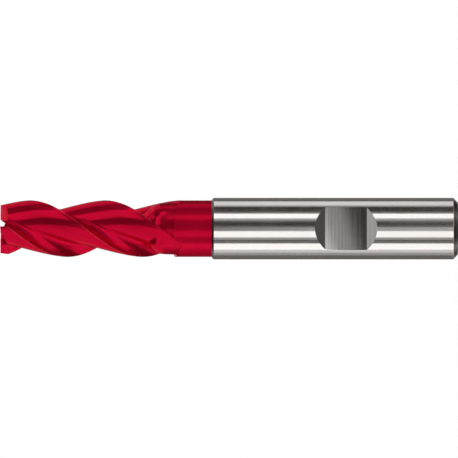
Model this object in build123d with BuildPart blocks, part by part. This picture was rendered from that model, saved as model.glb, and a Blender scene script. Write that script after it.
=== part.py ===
from build123d import *
from build123d.topology import SkipClean
from math import cos, radians, sin, sqrt, tan
import os

os.makedirs("parts", exist_ok=True)

# Endmill standing on its shank, tip up. Millimetres, +Z along the axis.

# Driving dimensions
overall_length = 89.0
cutter_diameter = 11.0
shank_diameter = 12.0
shank_length = 47.9
shank_chamfer = 0.9
shoulder_chamfer = 0.4
shank_band = 28.5

flat_width = 8.1
flat_depth = 1.6
flat_centre = 21.8
flat_bevel = 2.0

tooth_count = 3
flute_lead = 43.87
tip_edge_angle = 47.1
flute_end = 61.6
clearance_end = 55.0
wall_height = 53.7
wall_slope = 0.286

gash_depth = 1.75
gash_offset = 0.45
gash_past_centre = 1.6
gash_wall_angle = 37.0
gash_direction = -90.0
end_relief_width = 1.2
end_relief_angle = 5.0
second_relief_angle = 30.0

# Tooth form in the cross section: radius at an angle behind the cutting edge
land_angle = 6.0
land_radius = 5.41
back_mid_angle = 30.0
back_mid_radius = 4.75
back_end_angle = 82.0
back_end_radius = 3.10
core_angle = 91.0
core_radius = 2.97
rake_foot_angle = 100.0
rake_foot_radius = 3.10
rake_mid_angle = 115.2
rake_mid_radius = 4.07
clearance_radius = 5.04

cutter_radius = cutter_diameter / 2
shank_radius = shank_diameter / 2
tooth_pitch = 360.0 / tooth_count
outside_radius = cutter_radius + 1.2
twist_per_mm = 360.0 / flute_lead


def at(radius, behind):
    """Point of the cross section at an angle behind the cutting edge."""
    return Vector(radius * cos(radians(behind)), -radius * sin(radians(behind)))


def edge_angle(height):
    """Angle of the cutting edge at a height. It grows towards the tip."""
    return tip_edge_angle + twist_per_mm * (height - overall_length)


def station(height):
    """Cross section plane at a height, turned to the cutting edge."""
    return Plane((0, 0, height), x_dir=(1, 0, 0), z_dir=(0, 0, 1)).rotated((0, 0, edge_angle(height)))


def arc_through(*points):
    """Centre and radius of the arc through three points of the cross section."""
    arc = Edge.make_three_point_arc(*points)
    return arc.arc_center, arc.radius


upper_arc = arc_through(at(land_radius, land_angle), at(5.17, 16), at(back_mid_radius, back_mid_angle))
lower_arc = arc_through(at(back_mid_radius, back_mid_angle), at(3.89, 55), at(back_end_radius, back_end_angle))
rake_arc = arc_through(
    at(rake_foot_radius, rake_foot_angle), at(rake_mid_radius, rake_mid_angle), at(cutter_radius, tooth_pitch)
)


def on_back(behind):
    """Point of the tooth back at an angle behind the cutting edge."""
    centre, radius = upper_arc if behind < back_mid_angle else lower_arc
    ray = at(1, behind)
    along = ray.dot(centre)
    return ray * (along + sqrt(radius**2 - centre.length**2 + along**2))


def on_rake(behind):
    """Point of the hollow rake face, whose arc is centred outside the tool."""
    centre, radius = rake_arc
    ray = at(1, behind)
    along = ray.dot(centre)
    return ray * (along - sqrt(radius**2 - centre.length**2 + along**2))


def flute_section(height, back_end, floor_mid, rake_foot):
    """Cross section of one flute space, between two cutting edges, at a height."""
    back_start = at(land_radius, land_angle)
    back_split = min(back_mid_angle, (land_angle + back_end) / 2)
    floor_start = on_back(back_end)
    next_edge = at(cutter_radius, tooth_pitch)
    with BuildLine() as line:
        Line(at(cutter_radius, 0), back_start)
        ThreePointArc(back_start, on_back((land_angle + back_split) / 2), on_back(back_split))
        if back_end > back_mid_angle:
            ThreePointArc(on_back(back_split), on_back((back_split + back_end) / 2), floor_start)
        else:
            Line(on_back(back_split), floor_start)
        ThreePointArc(floor_start, floor_mid, on_rake(rake_foot))
        ThreePointArc(on_rake(rake_foot), on_rake((rake_foot + tooth_pitch) / 2), next_edge)
        Line(next_edge, at(outside_radius, tooth_pitch))
        ThreePointArc(at(outside_radius, tooth_pitch), at(outside_radius, tooth_pitch / 2), at(outside_radius, 0))
        Line(at(outside_radius, 0), at(cutter_radius, 0))
    return station(height) * Face(line.wire())


# Flute space along the helix, up past the tip
full_flute = (back_end_angle, at(core_radius, core_angle), rake_foot_angle)
flute_height = overall_length + 1 - flute_end
helical_flute = Solid.extrude_linear_with_rotation(
    flute_section(flute_end, *full_flute),
    center=(0, 0, flute_end),
    normal=(0, 0, flute_height),
    angle=twist_per_mm * flute_height,
)

# Flute run-out: the gullet floor climbs to the clearance, the back and rake faces stay
runout_sections = [
    flute_section(flute_end, *full_flute),
    flute_section(61.0, 77, at(3.17, 89.5), 105),
    flute_section(60.3, 64, at(3.62, 87), 111.5),
    flute_section(59.6, 47, at(4.20, 82), 115.8),
    flute_section(58.8, 31, at(4.73, 77), 118.2),
    flute_section(57.7, 24.5, at(4.97, 74), 118.8),
    flute_section(56.5, 22, at(5.03, 72), 119),
    flute_section(clearance_end, 20.5, at(clearance_radius, 70), 119),
    flute_section(clearance_end - 1.6, 20.5, at(clearance_radius, 70), 119),
]

with BuildPart() as runout_cut:
    loft(runout_sections, ruled=True)

# The run-out stops on a slanting wall: later at the tooth, sooner at the gullet
wall_direction = radians(edge_angle(clearance_end) + 80)
wall_normal = (wall_slope * cos(wall_direction), wall_slope * sin(wall_direction), 1)

with BuildPart() as flute_cut:
    add(runout_cut.part)
    split(bisect_by=Plane((0, 0, wall_height), z_dir=wall_normal), keep=Keep.TOP)
    add(helical_flute)

# End teeth: a notch ahead of each end edge and two relief faces behind it
notch_top = gash_depth + 1
notch_run = notch_top * tan(radians(gash_wall_angle))
first_drop = end_relief_width * tan(radians(end_relief_angle))
second_run = cutter_radius - end_relief_width
second_drop = first_drop + second_run * tan(radians(second_relief_angle))
end_plane = Plane(
    (0, 0, overall_length),
    x_dir=(-sin(radians(gash_direction)), cos(radians(gash_direction)), 0),
    z_dir=(cos(radians(gash_direction)), sin(radians(gash_direction)), 0),
)

with BuildPart() as end_cut:
    with BuildSketch(end_plane.offset(-gash_past_centre)):
        with BuildLine():
            Polyline(
                (gash_offset, -gash_depth),
                (gash_offset, 1),
                (gash_offset + notch_run, 1),
                close=True,
            )
        make_face()
    extrude(amount=outside_radius + gash_past_centre)
    with BuildSketch(end_plane):
        with BuildLine():
            Polyline(
                (gash_offset, 0),
                (gash_offset - end_relief_width, -first_drop),
                (gash_offset - end_relief_width - second_run, -second_drop),
                (gash_offset - end_relief_width - second_run, 2),
                (gash_offset, 2),
                close=True,
            )
        make_face()
    extrude(amount=outside_radius)

# Turned blank. Its shank wall keeps an edge just above the clamping flat, so the
# wall below and the wall above are faces of their own.
with SkipClean():
    with BuildLine(Plane.XZ) as blank_outline:
        Polyline(
            (0, 0),
            (shank_radius - shank_chamfer, 0),
            (shank_radius, shank_chamfer),
            (shank_radius, shank_band),
            (shank_radius, shank_length - shoulder_chamfer),
            (shank_radius - shoulder_chamfer, shank_length),
            (cutter_radius, shank_length),
            (cutter_radius, overall_length),
            (0, overall_length),
            close=True,
        )
    blank_profile = Face(blank_outline.wire())

with SkipClean(), BuildPart() as endmill:
    revolve(blank_profile, axis=Axis.Z, clean=False)

    # Clamping flat with sloped ends, facing -Y
    with BuildSketch(Plane.YZ):
        with BuildLine():
            Polyline(
                (flat_depth - shank_radius, flat_centre - flat_width / 2),
                (flat_depth - shank_radius, flat_centre + flat_width / 2),
                (-shank_radius - 1, flat_centre + flat_width / 2 + flat_bevel * (1 + 1 / flat_depth)),
                (-shank_radius - 1, flat_centre - flat_width / 2 - flat_bevel * (1 + 1 / flat_depth)),
                close=True,
            )
        make_face()
    extrude(amount=shank_radius, both=True, clean=False, mode=Mode.SUBTRACT)

    # Three flutes and three end teeth
    with PolarLocations(0, tooth_count):
        add(flute_cut.part, clean=False, mode=Mode.SUBTRACT)
    with PolarLocations(0, tooth_count):
        add(end_cut.part, clean=False, mode=Mode.SUBTRACT)

endmill.part.label = "endmill"
export_step(endmill.part, "parts/endmill.step")
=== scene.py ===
import bmesh
import bpy
import numpy as np
from mathutils import Matrix, Vector


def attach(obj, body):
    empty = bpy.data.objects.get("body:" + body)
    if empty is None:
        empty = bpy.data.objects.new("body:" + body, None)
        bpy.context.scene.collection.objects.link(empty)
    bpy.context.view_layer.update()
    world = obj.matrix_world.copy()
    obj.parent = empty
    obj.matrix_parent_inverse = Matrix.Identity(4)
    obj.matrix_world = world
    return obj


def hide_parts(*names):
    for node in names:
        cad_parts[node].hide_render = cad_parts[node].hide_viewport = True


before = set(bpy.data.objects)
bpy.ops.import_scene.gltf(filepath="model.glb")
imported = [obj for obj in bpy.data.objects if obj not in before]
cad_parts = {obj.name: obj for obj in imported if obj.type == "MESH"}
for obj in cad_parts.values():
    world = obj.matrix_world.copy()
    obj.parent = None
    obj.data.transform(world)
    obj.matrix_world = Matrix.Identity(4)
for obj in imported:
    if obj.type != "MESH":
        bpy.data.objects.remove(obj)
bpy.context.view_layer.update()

# Endmill standing on its shank end, tip up, with +Z along the axis: a red coated cutter
# and a ground steel shank, as two surfaces of one piece.

MM = 0.001

# Sizes in millimetres, as in the part's source
overall_length = 89.0
cutter_radius = 5.5
shank_radius = 6.0
shank_length = 47.9
shank_chamfer = 0.9
shoulder_chamfer = 0.4
flat_width = 8.1
flat_depth = 1.6
flat_centre = 21.8
flat_bevel = 2.0

flute_lead = 43.87
tip_edge_angle = 47.1
flute_end = 61.6
clearance_end = 55.0
wall_height = 53.7
wall_slope = 0.286
wall_turn = 80.0

gash_depth = 1.75
gash_offset = 0.45
gash_past_centre = 1.6
gash_wall_angle = 37.0
gash_direction = -90.0
end_relief_width = 1.2
end_relief_angle = 5.0
second_relief_angle = 30.0
outside_radius = 6.7

# Tooth form: radius at an angle behind the cutting edge
TOOTH_COUNT = 3
tooth_pitch = 360.0 / TOOTH_COUNT
land_angle, land_radius = 6.0, 5.41
upper_back_angle, upper_back_radius = 16.0, 5.17
back_mid_angle, back_mid_radius = 30.0, 4.75
lower_back_angle, lower_back_radius = 55.0, 3.89
back_end_angle, back_end_radius = 82.0, 3.10
rake_foot_angle, rake_foot_radius = 100.0, 3.10
rake_mid_angle, rake_mid_radius = 115.2, 4.07

# Flute space at heights from its run-out up to the full flute:
# height, end of the tooth back, floor radius and angle, foot of the rake face
RUNOUT = np.array([
    (53.0, 20.5, 5.04, 70.0, 119.0),
    (55.0, 20.5, 5.04, 70.0, 119.0),
    (56.5, 22.0, 5.03, 72.0, 119.0),
    (57.7, 24.5, 4.97, 74.0, 118.8),
    (58.8, 31.0, 4.73, 77.0, 118.2),
    (59.6, 47.0, 4.20, 82.0, 115.8),
    (60.3, 64.0, 3.62, 87.0, 111.5),
    (61.0, 77.0, 3.17, 89.5, 105.0),
    (61.6, 82.0, 2.97, 91.0, 100.0),
    (63.0, 82.0, 2.97, 91.0, 100.0),
])

# Points round one flute space, and levels up the cutter
LAND_POINTS, BACK_POINTS, FLOOR_POINTS, RAKE_POINTS = 6, 36, 24, 22
SPACE_POINTS = LAND_POINTS + BACK_POINTS + FLOOR_POINTS + RAKE_POINTS
NECK_LEVELS, WALL_LEVELS, RUNOUT_LEVELS, FLUTE_LEVELS, TIP_LEVELS = 14, 5, 90, 120, 34

# Cutter's mesh: where its part with the end teeth starts, and how far the neck reaches
# down into the shank
tip_start = 83.6
neck_sunk = 0.6

# Foot of the slanting wall: the rounds that find it, and the least turn, in radians,
# between a line up the neck and the last one
FOOT_ROUNDS = 40
hollow_turn = 0.004

# Finish only: how far the flat's floor is dished and askew, how far the shank's corners
# are broken, and the width over which the wear of an edge fades
flat_dish = 0.08
flat_skew = -0.3
edge_break = 0.03
tooth_wear_width = 0.16
rim_wear_width = 0.1
wear_start, wear_run = 56.0, 5.0

# Shank's mesh: points round it, stations across the flat and points along it, the longest
# step of the outline, and the radius at which the end faces start
SHANK_COLUMNS, FLAT_STATIONS, FLAT_POINTS = 240, 41, 61
longest_step = 0.5
face_start = 0.02

# A cut reaches this far past the surface that it cuts
past_tip = 2.0
past_wall = 1.2

# A face is round neck outside this radius and below this height, and the grinding lines
# there are finer by this factor. A face is flat this far inside the shank's wall.
neck_radius, neck_top = 5.44, 58.0
neck_fineness = 3
inside_wall = 0.015

# Edges are drawn sharp above these angles
cutter_crease, shank_crease = 40.0, 28.0


def turned(degrees):
    """Unit complex number at an angle: cosine plus i times sine."""
    return np.exp(1j * np.radians(degrees))


def at(radius, behind):
    """Point of the cross section: a radius, at an angle clockwise behind the cutting edge."""
    return radius * turned(-np.asarray(behind))


def edge_angle(height):
    """Angle of the cutting edge: it turns once per lead, and has its tip angle at the top."""
    return tip_edge_angle + 360.0 / flute_lead * (height - overall_length)


def ring_through(a, b, c):
    """Centre and radius of the circle through three points given as complex numbers."""
    w = (c - a) / (b - a)
    centre = a + (b - a) * (w - abs(w) ** 2) / (2j * w.imag)
    return centre, abs(a - centre)


def bow(a, middle, b, t):
    """Arc from a through middle to b at shares t of its turn. The angle between the two
    chords is half the arc's turn p, and the point lies along the chord turned back by
    (1 - t) p, at its length times sin(t p) / sin(p)."""
    half_turn = np.angle((b - middle) / (middle - a))
    half_turn = np.where(abs(half_turn) < 1e-7, 1e-7, half_turn)
    reach = np.sin(t * half_turn) / np.sin(half_turn)
    return a + (b - a) * reach * np.exp(-1j * (1 - t) * half_turn)


UPPER_ARC = ring_through(
    at(land_radius, land_angle),
    at(upper_back_radius, upper_back_angle),
    at(back_mid_radius, back_mid_angle),
)
LOWER_ARC = ring_through(
    at(back_mid_radius, back_mid_angle),
    at(lower_back_radius, lower_back_angle),
    at(back_end_radius, back_end_angle),
)
RAKE_ARC = ring_through(
    at(rake_foot_radius, rake_foot_angle),
    at(rake_mid_radius, rake_mid_angle),
    at(cutter_radius, tooth_pitch),
)


def on_arc(centre, radius, behind, side):
    """Point where the ray at an angle behind the edge crosses an arc: as far along the
    ray as the arc's centre, plus or minus half the chord that the ray cuts."""
    ray = at(1.0, behind)
    along = (centre * np.conj(ray)).real
    return ray * (along + side * np.sqrt(radius ** 2 - abs(centre) ** 2 + along ** 2))


def on_back(behind):
    """Point of the tooth back, which is the upper arc and then the lower one."""
    upper = behind < back_mid_angle
    centre = np.where(upper, UPPER_ARC[0], LOWER_ARC[0])
    radius = np.where(upper, UPPER_ARC[1], LOWER_ARC[1])
    return on_arc(centre, radius, behind, 1)


def on_rake(behind):
    """Point of the hollow rake face, whose arc is centred outside the tool."""
    return on_arc(*RAKE_ARC, behind, -1)


def eased(heights, column):
    """Value of one column of the run-out at each height: cubic pieces whose slope at a
    station is the harmonic mean of the slopes beside it, so nothing overshoots."""
    z, v = RUNOUT[:, 0], RUNOUT[:, column]
    step, rise = np.diff(z), np.diff(v) / np.diff(z)
    product = rise[:-1] * rise[1:]
    total = rise[:-1] + rise[1:]
    inner = np.where(product > 0, 2 * product / np.where(product > 0, total, 1), 0)
    slope = np.concatenate([[0], inner, [0]])
    h = np.clip(heights, z[0], z[-1])
    i = np.clip(np.searchsorted(z, h, side="right") - 1, 0, len(z) - 2)
    t = (h - z[i]) / step[i]
    return (v[i] * (2 * t ** 3 - 3 * t ** 2 + 1) + v[i + 1] * (3 * t ** 2 - 2 * t ** 3)
            + step[i] * (slope[i] * (t ** 3 - 2 * t ** 2 + t) + slope[i + 1] * (t ** 3 - t ** 2)))


def flute_space(height):
    """One flute space for a grid of heights, a column per point round it. In turn: the
    land, a straight line; the tooth back, on its two arcs; the gullet floor, an arc
    through its lowest point; and the hollow rake face, an arc up to the next edge. The
    whole is turned with the helix."""
    back_end = eased(height, 1)
    floor_middle = at(eased(height, 2), eased(height, 3))
    rake_foot = eased(height, 4)
    points = np.empty(height.shape, complex)
    last = 0

    def columns(count):
        nonlocal last
        last += count
        return slice(last - count, last), (np.arange(count) / count)[None, :]

    s, t = columns(LAND_POINTS)
    points[:, s] = cutter_radius + (at(land_radius, land_angle) - cutter_radius) * t
    s, t = columns(BACK_POINTS)
    points[:, s] = on_back(land_angle + (back_end[:, s] - land_angle) * t)
    s, t = columns(FLOOR_POINTS)
    points[:, s] = bow(on_back(back_end[:, s]), floor_middle[:, s], on_rake(rake_foot[:, s]), t)
    s, t = columns(RAKE_POINTS)
    foot = on_rake(rake_foot[:, s])
    middle = on_rake((rake_foot[:, s] + tooth_pitch) / 2)
    points[:, s] = bow(foot, middle, at(cutter_radius, tooth_pitch), t)
    return points * turned(edge_angle(height))


def wall_level(points):
    """Height of the slanting wall where the flute space ends, above a point."""
    toward = turned(edge_angle(clearance_end) + wall_turn)
    return wall_height - wall_slope * (points * np.conj(toward)).real


def tube(name, places, heights, top=True):
    """Mesh of a tube from a grid of complex places and heights, rows up and columns
    round, with a flat face over its lower end and, if wanted, its top."""
    rows, cols = places.shape
    corners = np.stack([places.real, places.imag, heights], -1).reshape(-1, 3) * MM
    r, c = np.meshgrid(np.arange(rows - 1), np.arange(cols), indexing="ij")
    after = (c + 1) % cols
    above = r + 1
    quads = np.stack([r * cols + c, r * cols + after, above * cols + after, above * cols + c], -1)
    faces = quads.reshape(-1, 4).tolist()
    faces.append(np.arange(cols)[::-1].tolist())
    if top:
        faces.append((np.arange(cols) + (rows - 1) * cols).tolist())
    mesh = bpy.data.meshes.new(name)
    mesh.from_pydata(corners.tolist(), [], faces)
    return mesh


def welded(mesh, distance=2e-7):
    """Merges doubles, drops what collapsed, and turns every face outwards."""
    bm = bmesh.new()
    bm.from_mesh(mesh)
    bmesh.ops.remove_doubles(bm, verts=bm.verts, dist=distance)
    bmesh.ops.dissolve_degenerate(bm, edges=bm.edges, dist=distance)
    bmesh.ops.recalc_face_normals(bm, faces=bm.faces)
    bm.to_mesh(mesh)
    bm.free()
    return mesh


def around_the_axis(places, heights):
    """A grid for one flute space, repeated for all three, side by side."""
    turns = [turned(-tooth_pitch * k) for k in range(TOOTH_COUNT)]
    places = np.concatenate([places * turn for turn in turns], 1)
    return places, np.tile(heights, (1, TOOTH_COUNT))


def straight_flutes(bottom, top, levels):
    """Grid of the full flutes between two heights."""
    t = np.linspace(0, 1, levels)[:, None]
    heights = np.repeat(bottom * (1 - t) + top * t, SPACE_POINTS, 1)
    return flute_space(heights), heights


def fluted_cutter_mesh():
    """Neck, run-out and flutes as one tube. Each column climbs the round neck, steps in
    along the slanting wall, and then follows its own point of the flute space. The last
    few, which lie in the hollow of the rake face, share one line up the neck."""
    count = SPACE_POINTS
    start = np.full((1, count), wall_height)
    for _ in range(FOOT_ROUNDS):
        foot = flute_space(start)
        start = wall_level(foot)
    foot = flute_space(start)
    way = np.angle(foot / foot[:, :1])
    way = np.where(way < way[:, -1:] + hollow_turn, way[:, -1:], way)
    outer = cutter_radius * foot[:, :1] / abs(foot[:, :1]) * np.exp(1j * way)
    outer_height = wall_level(outer)

    t = np.linspace(0, 1, NECK_LEVELS)[:, None]
    neck = np.repeat(outer, NECK_LEVELS, 0)
    neck_height = (shank_length - neck_sunk) * (1 - t) + outer_height * t
    t = (np.arange(1, WALL_LEVELS) / WALL_LEVELS)[:, None]
    wall = outer * (1 - t) + foot * t
    wall_heights = outer_height * (1 - t) + start * t
    t = np.linspace(0, 1, RUNOUT_LEVELS, endpoint=False)[:, None]
    runout_height = start * (1 - t) + flute_end * t
    flute, flute_height = straight_flutes(flute_end, tip_start, FLUTE_LEVELS)

    places = np.concatenate([neck, wall, flute_space(runout_height), flute])
    heights = np.concatenate([neck_height, wall_heights, runout_height, flute_height])
    return tube("cutter", *around_the_axis(places, heights), top=False)


def tip_mesh():
    """The last stretch of the flutes, up to the tip, as a tube closed at both ends."""
    flutes = straight_flutes(tip_start, overall_length, TIP_LEVELS)
    return welded(tube("tip", *around_the_axis(*flutes)))


def prism(name, outline, start, end, direction):
    """Closed prism: an outline in the end plane, as points across and above the tip,
    drawn out along a horizontal direction from start to end."""
    ahead = turned(direction)
    across = ahead * 1j
    outline = np.array(outline, float)
    run = np.array([start, end])[:, None]
    places = outline[None, :, 0] * across + run * ahead
    heights = np.repeat(outline[None, :, 1] + overall_length, 2, 0)
    mesh = welded(tube(name, places, heights))
    return bpy.data.objects.new(name, mesh)


def end_tooth_cuts():
    """The cuts of the three end teeth: a notch ahead of each end edge, and behind the
    edge a narrow relief and a steeper second one."""
    notch_run = (gash_depth + 1) * np.tan(np.radians(gash_wall_angle))
    first = end_relief_width * np.tan(np.radians(end_relief_angle))
    second_run = cutter_radius - end_relief_width
    second = first + second_run * np.tan(np.radians(second_relief_angle))
    notch = [(gash_offset, -gash_depth), (gash_offset + notch_run, 1), (gash_offset, 1)]
    relief = [
        (gash_offset, 0),
        (gash_offset, past_tip),
        (gash_offset - end_relief_width - second_run, past_tip),
        (gash_offset - end_relief_width - second_run, -second),
        (gash_offset - end_relief_width, -first),
    ]
    cuts = []
    for k in range(TOOTH_COUNT):
        direction = gash_direction - tooth_pitch * k
        cuts.append(prism("notch", notch, -gash_past_centre, outside_radius, direction))
        cuts.append(prism("relief", relief, 0, outside_radius, direction))
    return cuts


def lathe_mesh(name, profile, columns):
    """Closed turned form: a profile of radii and heights carried round the axis."""
    profile = np.array(profile, float)
    round_the_axis = turned(np.arange(columns) * 360.0 / columns)[None, :]
    places = profile[:, :1] * round_the_axis
    heights = np.repeat(profile[:, 1:], columns, 1)
    return welded(tube(name, places, heights))


def dense(points, longest):
    """Profile with more points on its straight runs, none longer than the given step."""
    out = [points[0]]
    for (r0, z0), (r1, z1) in zip(points[:-1], points[1:]):
        steps = max(1, int(np.ceil(np.hypot(r1 - r0, z1 - z0) / longest)))
        t = np.arange(1, steps + 1) / steps
        out += np.stack([r0 + (r1 - r0) * t, z0 + (z1 - z0) * t], -1).tolist()
    return out


def broken_edge(before, corner, after, radius=edge_break, steps=4):
    """Corner of a profile broken by a small round: a quadratic curve between the points
    one radius before and after the corner, with a point more close by on either side."""
    before, corner, after = (np.array(p, float) for p in (before, corner, after))
    back = (before - corner) / np.linalg.norm(before - corner) * radius
    on = (after - corner) / np.linalg.norm(after - corner) * radius
    t = np.linspace(0, 1, steps + 1)[:, None]
    curve = corner + (1 - t) ** 2 * back + t ** 2 * on
    return [(corner + 2 * back).tolist(), *curve.tolist(), (corner + 2 * on).tolist()]


def shank_profile():
    """Outline of the shank: the centre of its end face, the end chamfer, the ground
    wall, the shoulder chamfer and the shoulder, with every corner slightly broken."""
    corners = [
        (0.0, 0.0),
        (shank_radius - shank_chamfer, 0.0),
        (shank_radius, shank_chamfer),
        (shank_radius, shank_length - shoulder_chamfer),
        (shank_radius - shoulder_chamfer, shank_length),
        (0.0, shank_length),
    ]
    line = [(face_start, 0.0)]
    for i in range(1, 5):
        line += broken_edge(corners[i - 1], corners[i], corners[i + 1])
    line.append((face_start, shank_length))
    return dense(line, longest_step)


def clamp_cut_mesh():
    """What the clamping flat takes away, as outlines at stations across the shank. Each
    has two sloped ends and a floor dished by a hair. The dish is its full depth times
    one, less the square of the way along from the middle and less twice the skew times
    the product of the ways along and across, all in half lengths of the flat."""
    half = flat_width / 2
    beyond, flat_edge = shank_radius + 2, shank_radius - 1
    across = np.linspace(-beyond, beyond, FLAT_STATIONS)[:, None]
    along = np.linspace(-half, half, FLAT_POINTS)[None, :]
    inside = np.clip(across, -flat_edge, flat_edge)
    dish = flat_dish * (1 - (along / half) ** 2 - 2 * flat_skew * along * inside / half ** 2)
    floor = shank_radius - flat_depth - dish
    slope = flat_bevel / flat_depth
    lift = flat_depth + past_wall
    low = -half - slope * (lift + shank_radius - flat_depth - floor[:, :1])
    high = half + slope * (lift + shank_radius - flat_depth - floor[:, -1:])
    out = np.full(across.shape, shank_radius - flat_depth + lift)
    y = -np.concatenate([floor, out, out], 1)
    z = flat_centre + np.concatenate([along + 0 * across, high, low], 1)
    return welded(tube("clamp_cut", across + 1j * y, z))


def cut_away(mesh, name, cuts):
    """Takes the cuts out of a mesh exactly, and returns the result as a new object."""
    body = bpy.data.objects.new(name, mesh)
    bpy.context.collection.objects.link(body)
    tools = bpy.data.collections.new(name + "_cuts")
    bpy.context.scene.collection.children.link(tools)
    for cut in cuts:
        tools.objects.link(cut)
    boolean = body.modifiers.new("cut", "BOOLEAN")
    boolean.operation = "DIFFERENCE"
    boolean.solver = "EXACT"
    boolean.operand_type = "COLLECTION"
    boolean.collection = tools
    evaluated = body.evaluated_get(bpy.context.evaluated_depsgraph_get())
    finished = bpy.data.meshes.new_from_object(evaluated)
    body.modifiers.clear()
    body.data = welded(finished)
    for cut in cuts:
        bpy.data.objects.remove(cut)
    bpy.data.collections.remove(tools)
    return body


def joined(lower, upper, seam):
    """One mesh of two that share a ring at the seam's height. The flat face that closed
    the upper one there is left out."""
    bm = bmesh.new()
    bm.from_mesh(upper)
    cap = [f for f in bm.faces if all(abs(v.co.z - seam * MM) < 1e-7 for v in f.verts)]
    bmesh.ops.delete(bm, geom=cap, context="FACES")
    bm.from_mesh(lower)
    bm.to_mesh(lower)
    bm.free()
    return welded(lower)


def crisp(obj, degrees):
    """Smooth shading that keeps every edge sharper than the angle."""
    obj.data.shade_smooth()
    obj.data.set_sharp_from_angle(angle=np.radians(degrees))


def corners_of(mesh):
    """Vertices in millimetres, the vertex and face of every face corner, face centres
    in millimetres and face normals."""
    verts = np.empty(len(mesh.vertices) * 3)
    mesh.vertices.foreach_get("co", verts)
    owner = np.empty(len(mesh.loops), int)
    mesh.loops.foreach_get("vertex_index", owner)
    sizes = np.empty(len(mesh.polygons), int)
    mesh.polygons.foreach_get("loop_total", sizes)
    centres = np.empty(len(mesh.polygons) * 3)
    mesh.polygons.foreach_get("center", centres)
    normals = np.empty(len(mesh.polygons) * 3)
    mesh.polygons.foreach_get("normal", normals)
    faces = np.repeat(np.arange(len(sizes)), sizes)
    verts, centres = verts.reshape(-1, 3) / MM, centres.reshape(-1, 3) / MM
    return verts, owner, faces, centres, normals.reshape(-1, 3)


def write_wear(mesh, wear):
    """Stores how worn each vertex is, from nothing to one."""
    layer = mesh.attributes.new("wear", "FLOAT", "POINT")
    layer.data.foreach_set("value", np.clip(wear, 0, 1).astype(np.float32))


def mark_cutter(mesh):
    """Map, wear and finishes of the cutter. The map's first value runs across the grinding
    lines: the way round from the cutting edge plus the radius in the flutes, and the
    height times the neck's fineness on the round neck, which has a finish of its own. The
    wear is a bell of the distance to a cutting edge, and grows over the run-out."""
    verts, owner, faces, centres, _ = corners_of(mesh)
    place = verts[:, 0] + 1j * verts[:, 1]
    height = verts[:, 2]
    middle = centres[:, 0] + 1j * centres[:, 1]
    behind = np.mod(edge_angle(centres[:, 2]) - np.degrees(np.angle(middle)), tooth_pitch)[faces]
    corner = place[owner]
    twist = edge_angle(height[owner]) - edge_angle(centres[faces, 2])
    behind = behind - np.degrees(np.angle(corner / middle[faces] / turned(twist)))
    on_neck = (abs(middle) > neck_radius) & (centres[:, 2] < neck_top)
    across = np.radians(behind) * cutter_radius + abs(corner)
    u = np.where(on_neck[faces], neck_fineness * height[owner], across)
    v = np.where(on_neck[faces], across, height[owner])
    layer = mesh.uv_layers.new(name="grinding")
    layer.data.foreach_set("uv", np.stack([u, v], -1).ravel().astype(np.float32))
    edges = [
        cutter_radius * turned(edge_angle(height) - tooth_pitch * k) for k in range(TOOTH_COUNT)
    ]
    away = np.min([abs(place - e) for e in edges], 0)
    along = np.clip((height - wear_start) / wear_run, 0, 1)
    write_wear(mesh, along * np.exp(-(away / tooth_wear_width) ** 2))
    mesh.polygons.foreach_set("material_index", on_neck.astype(np.int32))


def mark_shank(mesh):
    """Wear of the shank's edges, and its finishes in turn: ground wall, flat with its
    sloped ends, turned end face with its chamfer, and turned shoulder with its own. Both
    turned finishes are painted shade, steel painted dark, the shoulder's darker still."""
    verts, _, _, centres, normals = corners_of(mesh)
    radius = np.hypot(verts[:, 0], verts[:, 1])
    height = verts[:, 2]
    rims = [
        (shank_radius, shank_chamfer),
        (shank_radius - shank_chamfer, 0.0),
        (shank_radius, shank_length - shoulder_chamfer),
        (shank_radius - shoulder_chamfer, shank_length),
    ]
    away = np.min([np.hypot(radius - r, height - z) for r, z in rims], 0)
    beyond = np.clip(abs(height - flat_centre) - flat_width / 2, 0, None)
    cut = -(shank_radius - flat_depth + beyond * flat_depth / flat_bevel)
    by_flat = np.hypot(verts[:, 1] - cut, radius - shank_radius)
    write_wear(mesh, np.exp(-(np.minimum(away, by_flat) / rim_wear_width) ** 2))
    reach = np.hypot(centres[:, 0], centres[:, 1])
    at_end = centres[:, 2] < shank_chamfer + edge_break
    at_shoulder = centres[:, 2] > shank_length - shoulder_chamfer - edge_break
    near_flat = abs(centres[:, 2] - flat_centre) < flat_width / 2 + flat_bevel + 1
    flat_faces = (normals[:, 1] < -0.5) & (reach < shank_radius - inside_wall) & near_flat
    # The end and shoulder faces take turned steel painted dark as painted shade.
    finish = np.select([at_end, at_shoulder, flat_faces], [2, 3, 1], 0)
    mesh.polygons.foreach_set("material_index", finish.astype(np.int32))


def new_material(name):
    """Empty node material with its surface shader and output."""
    material = bpy.data.materials.new(name)
    material.use_nodes = True
    nodes = material.node_tree.nodes
    nodes.clear()
    output = nodes.new("ShaderNodeOutputMaterial")
    shader = nodes.new("ShaderNodeBsdfPrincipled")
    material.node_tree.links.new(shader.outputs[0], output.inputs[0])
    return material, nodes, material.node_tree.links, shader


def coordinates(nodes, uv_name=None):
    """Object coordinates, or a map of the piece's own."""
    if uv_name:
        node = nodes.new("ShaderNodeUVMap")
        node.uv_map = uv_name
        return node.outputs[0]
    return nodes.new("ShaderNodeTexCoord").outputs["Object"]


def stretched_noise(nodes, links, place, scale, detail=3.0):
    """Noise stretched by a scale for each axis of its coordinates."""
    stretch = nodes.new("ShaderNodeMapping")
    stretch.inputs["Scale"].default_value = scale
    noise = nodes.new("ShaderNodeTexNoise")
    noise.inputs["Scale"].default_value = 1.0
    noise.inputs["Detail"].default_value = detail
    links.new(place, stretch.inputs[0])
    links.new(stretch.outputs[0], noise.inputs["Vector"])
    return noise.outputs[0]


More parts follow.
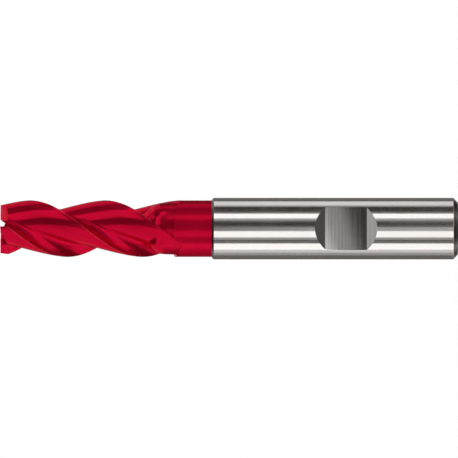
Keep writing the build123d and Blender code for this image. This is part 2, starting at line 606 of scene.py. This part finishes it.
def ranged(nodes, links, value, low, high, start=0.3, end=0.7):
    """Maps a value's range from start to end onto two limits."""
    node = nodes.new("ShaderNodeMapRange")
    node.inputs["From Min"].default_value = start
    node.inputs["From Max"].default_value = end
    node.inputs["To Min"].default_value = low
    node.inputs["To Max"].default_value = high
    links.new(value, node.inputs["Value"])
    return node.outputs[0]


def combined(nodes, links, operation, first, second):
    """One value from two, by an operation."""
    node = nodes.new("ShaderNodeMath")
    node.operation = operation
    for i, value in enumerate((first, second)):
        if isinstance(value, float):
            node.inputs[i].default_value = value
        else:
            links.new(value, node.inputs[i])
    return node.outputs[0]


def blended(nodes, links, share, first, second):
    """Colour between two, by a share."""
    node = nodes.new("ShaderNodeMix")
    node.data_type = "RGBA"
    for socket, value in ((6, first), (7, second)):
        if isinstance(value, tuple):
            node.inputs[socket].default_value = value
        else:
            links.new(value, node.inputs[socket])
    links.new(share, node.inputs[0])
    return node.outputs[2]


def bumped(nodes, links, shader, height, strength, distance):
    """Gives a shader the relief of a height in millimetres."""
    bump = nodes.new("ShaderNodeBump")
    bump.inputs["Strength"].default_value = strength
    bump.inputs["Distance"].default_value = distance * MM
    links.new(height, bump.inputs["Height"])
    links.new(bump.outputs[0], shader.inputs["Normal"])


def red_coating(name, metallic, dulled):
    """Red metallic coating over ground steel: fine grinding lines, along the helix in the
    flutes and round the neck, a slight change of tone, and cutting edges where it is
    rubbed thin. The neck's is duller than the flutes'."""
    material, nodes, links, shader = new_material(name)
    shader.inputs["Metallic"].default_value = metallic
    shader.inputs["Specular IOR Level"].default_value = 0.035
    shader.inputs["Specular Tint"].default_value = (0.95, 0.4, 0.45, 1)
    lines = stretched_noise(nodes, links, coordinates(nodes, "grinding"), (7, 0.25, 1))
    cloud = stretched_noise(nodes, links, coordinates(nodes), (250, 250, 250))
    tone = blended(nodes, links, ranged(nodes, links, cloud, 0, 1),
                   (0.53, 0.002, 0.028, 1), (0.58, 0.003, 0.032, 1))
    wear = nodes.new("ShaderNodeAttribute")
    wear.attribute_name = "wear"
    speckle = stretched_noise(nodes, links, coordinates(nodes), (1500, 1500, 1500), 4.0)
    rubbed = combined(nodes, links, "MULTIPLY", wear.outputs["Fac"],
                      ranged(nodes, links, speckle, 0.0, 0.3))
    colour = blended(nodes, links, rubbed, tone, (0.72, 0.2, 0.2, 1))
    links.new(colour, shader.inputs["Base Color"])
    rough = combined(nodes, links, "ADD", ranged(nodes, links, lines, 0.17 + dulled, 0.24 + dulled),
                     ranged(nodes, links, cloud, 0.0, 0.03))
    links.new(rough, shader.inputs["Roughness"])
    bumped(nodes, links, shader, lines, 0.25, 0.006)
    return material


def ground_steel():
    """Bright steel ground round the shank: fine lines round it, faint handling marks and
    edges worn a little brighter."""
    material, nodes, links, shader = new_material("ground_steel")
    shader.inputs["Metallic"].default_value = 1.0
    lines = stretched_noise(nodes, links, coordinates(nodes), (20, 20, 4000))
    marks = stretched_noise(nodes, links, coordinates(nodes), (180, 180, 90), 5.0)
    tone = blended(nodes, links, ranged(nodes, links, marks, 0, 1),
                   (0.7, 0.665, 0.64, 1), (0.74, 0.71, 0.685, 1))
    wear = nodes.new("ShaderNodeAttribute")
    wear.attribute_name = "wear"
    colour = blended(nodes, links, ranged(nodes, links, wear.outputs["Fac"], 0, 0.6, 0, 1),
                     tone, (0.8, 0.78, 0.76, 1))
    links.new(colour, shader.inputs["Base Color"])
    rough = combined(nodes, links, "ADD", ranged(nodes, links, lines, 0.08, 0.12),
                     ranged(nodes, links, marks, 0.0, 0.03))
    links.new(rough, shader.inputs["Roughness"])
    bumped(nodes, links, shader, lines, 0.08, 0.01)
    return material


def flat_steel():
    """Steel of the clamping flat and its sloped ends, darker, with the lines of the
    grinding wheel across it."""
    material, nodes, links, shader = new_material("flat_steel")
    shader.inputs["Metallic"].default_value = 1.0
    lines = stretched_noise(nodes, links, coordinates(nodes), (60, 60, 3000), 4.0)
    tone = blended(nodes, links, ranged(nodes, links, lines, 0, 1),
                   (0.42, 0.395, 0.375, 1), (0.5, 0.475, 0.455, 1))
    links.new(tone, shader.inputs["Base Color"])
    links.new(ranged(nodes, links, lines, 0.11, 0.15), shader.inputs["Roughness"])
    bumped(nodes, links, shader, lines, 0.06, 0.01)
    return material


def turned_steel(name, shaded_grey):
    """Turned steel of a chamfer and its face, with rings round the axis, and edges worn
    bright. Its grey is painted shade, set dark for a painted dark reflection, darker at
    the shoulder than at the shank's end."""
    material, nodes, links, shader = new_material(name)
    shader.inputs["Metallic"].default_value = 1.0
    reach = nodes.new("ShaderNodeVectorMath")
    reach.operation = "MULTIPLY"
    reach.inputs[1].default_value = (1, 1, 0)
    links.new(coordinates(nodes), reach.inputs[0])
    length = nodes.new("ShaderNodeVectorMath")
    length.operation = "LENGTH"
    links.new(reach.outputs[0], length.inputs[0])
    rings = nodes.new("ShaderNodeTexNoise")
    rings.noise_dimensions = "1D"
    rings.inputs["Scale"].default_value = 5000
    rings.inputs["Detail"].default_value = 3.0
    links.new(length.outputs["Value"], rings.inputs["W"])
    wear = nodes.new("ShaderNodeAttribute")
    wear.attribute_name = "wear"
    tone = blended(nodes, links, ranged(nodes, links, rings.outputs[0], 0, 1),
                   (shaded_grey, 0.96 * shaded_grey, 0.92 * shaded_grey, 1), (1.7 * shaded_grey, 1.64 * shaded_grey, 1.6 * shaded_grey, 1))
    colour = blended(nodes, links, ranged(nodes, links, wear.outputs["Fac"], 0, 0.5, 0.3, 1),
                     tone, (4 * shaded_grey, 3.8 * shaded_grey, 3.6 * shaded_grey, 1))
    links.new(colour, shader.inputs["Base Color"])
    links.new(ranged(nodes, links, rings.outputs[0], 0.28, 0.4), shader.inputs["Roughness"])
    bumped(nodes, links, shader, rings.outputs[0], 0.3, 0.01)
    return material


# The cutter: red coated flutes, end teeth and neck
cutter = cut_away(tip_mesh(), "coated_cutter", end_tooth_cuts())
cutter.data = joined(fluted_cutter_mesh(), cutter.data, tip_start)
crisp(cutter, cutter_crease)
cutter.data.materials.append(red_coating("red_coating", 0.69, 0.0))
cutter.data.materials.append(red_coating("red_neck", 0.6, 0.01))
mark_cutter(cutter.data)
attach(cutter, "root")
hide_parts("endmill")

# The shank: ground steel with its clamping flat
clamp = bpy.data.objects.new("clamp_cut", clamp_cut_mesh())
shank = cut_away(lathe_mesh("shank", shank_profile(), SHANK_COLUMNS), "ground_shank", [clamp])
crisp(shank, shank_crease)
for finish in (
    ground_steel(),
    flat_steel(),
    # Both turned finishes are painted shade, steel made dark for a painted dark reflection;
    # the shoulder's is darker still, a painted shadow at the shoulder.
    turned_steel("turned_end_painted_dark", 0.15),
    turned_steel("turned_shoulder_painted_shade", 0.05),
):
    shank.data.materials.append(finish)
mark_shank(shank.data)
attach(shank, "root")
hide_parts("endmill")


def soft_light(azimuth, elevation, half_width, half_length, lean, brightness):
    """Flat soft light two metres from the tool, facing it. It stands at an angle round
    the tool from the camera's side, at an elevation, and leans from the upright in its
    own plane. Its widths are angles as the tool sees them."""
    distance = 2.0
    data = bpy.data.lights.new("soft_light", "AREA")
    data.shape = "RECTANGLE"
    data.size = 2 * distance * np.tan(np.radians(half_width))
    data.size_y = 2 * distance * np.tan(np.radians(half_length))
    data.energy = brightness * np.pi * data.size * data.size_y
    a, e, k = np.radians(azimuth), np.radians(elevation), np.radians(lean)
    out = Vector((np.sin(a) * np.cos(e), -np.cos(a) * np.cos(e), np.sin(e)))
    side = Vector((np.cos(a), np.sin(a), 0))
    above = out.cross(side)
    above = above if above.z > 0 else -above
    long_way = above * np.cos(k) - side * np.sin(k)
    short_way = long_way.cross(out)
    place = out * distance + Vector((0, 0, overall_length * MM / 2))
    light = bpy.data.objects.new("soft_light", data)
    light.matrix_world = Matrix((
        (short_way.x, long_way.x, out.x, place.x),
        (short_way.y, long_way.y, out.y, place.y),
        (short_way.z, long_way.z, out.z, place.z),
        (0, 0, 0, 1),
    ))
    light.visible_camera = False
    bpy.context.collection.objects.link(light)


# Soft boxes round the tool: azimuth, elevation, half width, half length, lean, brightness
SOFT_BOXES = [
    # level with the tool, where its shank mirrors them
    (143, 0, 15, 4, 0, 0.14),
    (110.5, 0, 13.3, 4, 0, 0.84),
    (93.5, 0, 4, 4, 0, 0.33),
    (63, 0, 3.5, 4, 0, 0.17),
    (48.4, 0, 9.7, 4, 0, 1.4),
    (34.3, 0, 4, 4, 0, 0.42),
    (26.5, 0, 3, 4, 0, 0.09),
    (8.5, 0, 3, 4, 0, 0.09),
    (-2, -2, 7, 2, 0, 0.48),
    (-21.2, 0, 11.9, 4, 0, 1.34),
    (-38.3, 0, 4.3, 4, 0, 0.34),
    (-52, 0, 6, 4, 0, 0.12),
    (-72, 0, 14.6, 4, 0, 1.36),
    (-95, 0, 8, 4, 0, 0.68),
    (-111, 0, 7, 4, 0, 0.34),
    (-123, 0, 5, 4, 0, 0.14),
    (-142, 0, 13, 4, 0, 0.12),
    (180, 0, 12, 4, 0, 1.0),
    # below
    (-70, -12.5, 19.5, 7.5, 0, 1.25),
    (-30, -12.5, 19.5, 7.5, 0, 1.25),
    (10, -12.5, 19.5, 7.5, 0, 1.25),
    (45, -12.5, 14.5, 7.5, 0, 1.25),
    (25, -41, 23, 21, 0, 1.15),
    (-106, -31.5, 20, 27.5, 0, 1.15),
    (-68, -37, 9, 8, 0, 0.5),
    (-43, -25.5, 33, 5.5, 0, 0.75),
    (72, -32, 12, 14, 0, 0.4),
    (85, -60, 16, 9, 0, 1.1),
    (76, -6.5, 14, 2, 0, 0.6),
    (97, -14, 9, 5, 0, 1.1),
    (-136, -15, 9, 8.5, 0, 0.95),
    (0, -77, 10, 8, 0, 0.1),
    # above
    (76, 6, 14, 1.7, 0, 0.6),
    (70, 10, 6, 2.5, 0, 1.0),
    (80, 18, 9, 5, 0, 0.3),
    (-130, 17.5, 18, 13.5, 0, 1.1),
    (-91, 17.5, 18.5, 13.5, 0, 1.05),
    (-50, 17.5, 19, 12.5, 0, 1.1),
    (-20, 14, 12, 5.5, 0, 0.85),
    (34, 26, 21, 8, 0, 1.3),
    (63, 13, 5, 15.5, 68, 1.15),
    (132, 17, 30, 10, 0, 0.95),
    (-125, 38, 22, 7, 0, 1.1),
    (128, 36, 14, 9, 0, 1.3),
    (160, 50, 14, 10, 0, 1.2),
    (180, 25, 14, 15, 0, 1.0),
    (180, -16, 18, 9, 0, 0.9),
    (0, 55, 25, 6, 0, 0.9),
    (0, 73, 10, 8, 0, 0.7),
    (94, 56, 14, 8, 0, 1.0),
]
for box in SOFT_BOXES:
    soft_light(*box)

world = bpy.data.worlds.new("studio")
bpy.context.scene.world = world
world.use_nodes = True
wn, wl = world.node_tree.nodes, world.node_tree.links
wn.clear()
seen = wn.new("ShaderNodeBackground")
seen.inputs[0].default_value = (1, 1, 1, 1)
unseen = wn.new("ShaderNodeBackground")
unseen.inputs[0].default_value = (0.038, 0.034, 0.032, 1)
path = wn.new("ShaderNodeLightPath")
mix = wn.new("ShaderNodeMixShader")
out = wn.new("ShaderNodeOutputWorld")
wl.new(path.outputs["Is Camera Ray"], mix.inputs[0])
wl.new(unseen.outputs[0], mix.inputs[1])
wl.new(seen.outputs[0], mix.inputs[2])
wl.new(mix.outputs[0], out.inputs[0])

# The floor: a pale disc a hair under the tool, which fades out towards its rim
floor_radius, floor_drop = 50.0, 0.02
floor_points = 96
floor_mesh = bpy.data.meshes.new("floor")
ring = turned(np.arange(floor_points) * 360.0 / floor_points) * floor_radius * MM
rim = [(p.real, p.imag, -floor_drop * MM) for p in ring]
floor_mesh.from_pydata(rim, [], [list(range(floor_points))])
floor = bpy.data.objects.new("floor", floor_mesh)
bpy.context.collection.objects.link(floor)
floor_paint, fn, fl, floor_shader = new_material("pale_floor")
floor_shader.inputs["Base Color"].default_value = (0.9, 0.9, 0.9, 1)
floor_shader.inputs["Roughness"].default_value = 0.9
floor_shader.inputs["Emission Color"].default_value = (1, 1, 1, 1)
floor_shader.inputs["Emission Strength"].default_value = 0.6
floor_place = fn.new("ShaderNodeTexCoord")
floor_reach = fn.new("ShaderNodeVectorMath")
floor_reach.operation = "LENGTH"
fl.new(floor_place.outputs["Object"], floor_reach.inputs[0])
fade = fn.new("ShaderNodeMapRange")
fade.inputs["From Min"].default_value = 12 * MM
fade.inputs["From Max"].default_value = 45 * MM
fade.inputs["To Min"].default_value = 1.0
fade.inputs["To Max"].default_value = 0.0
fl.new(floor_reach.outputs["Value"], fade.inputs["Value"])
fl.new(fade.outputs[0], floor_shader.inputs["Alpha"])
floor.data.materials.append(floor_paint)
floor.visible_glossy = False
floor.visible_shadow = False

# Camera: the photograph's square view from the side, the tip to the left
camera_data = bpy.data.cameras.new("camera")
camera_data.lens = 1500
camera_data.sensor_width = 36
camera = bpy.data.objects.new("camera", camera_data)
bpy.context.collection.objects.link(camera)
shown_width = 89.06
camera_aside = -0.07
camera_away = shown_width * camera_data.lens / camera_data.sensor_width
camera.matrix_world = Matrix((
    (0, 1, 0, camera_aside * MM),
    (0, 0, -1, -camera_away * MM),
    (-1, 0, 0, shown_width / 2 * MM),
    (0, 0, 0, 1),
))
camera_data.clip_start = 0.05
camera_data.clip_end = 20
bpy.context.scene.camera = camera
bpy.context.scene.view_settings.view_transform = "Standard"
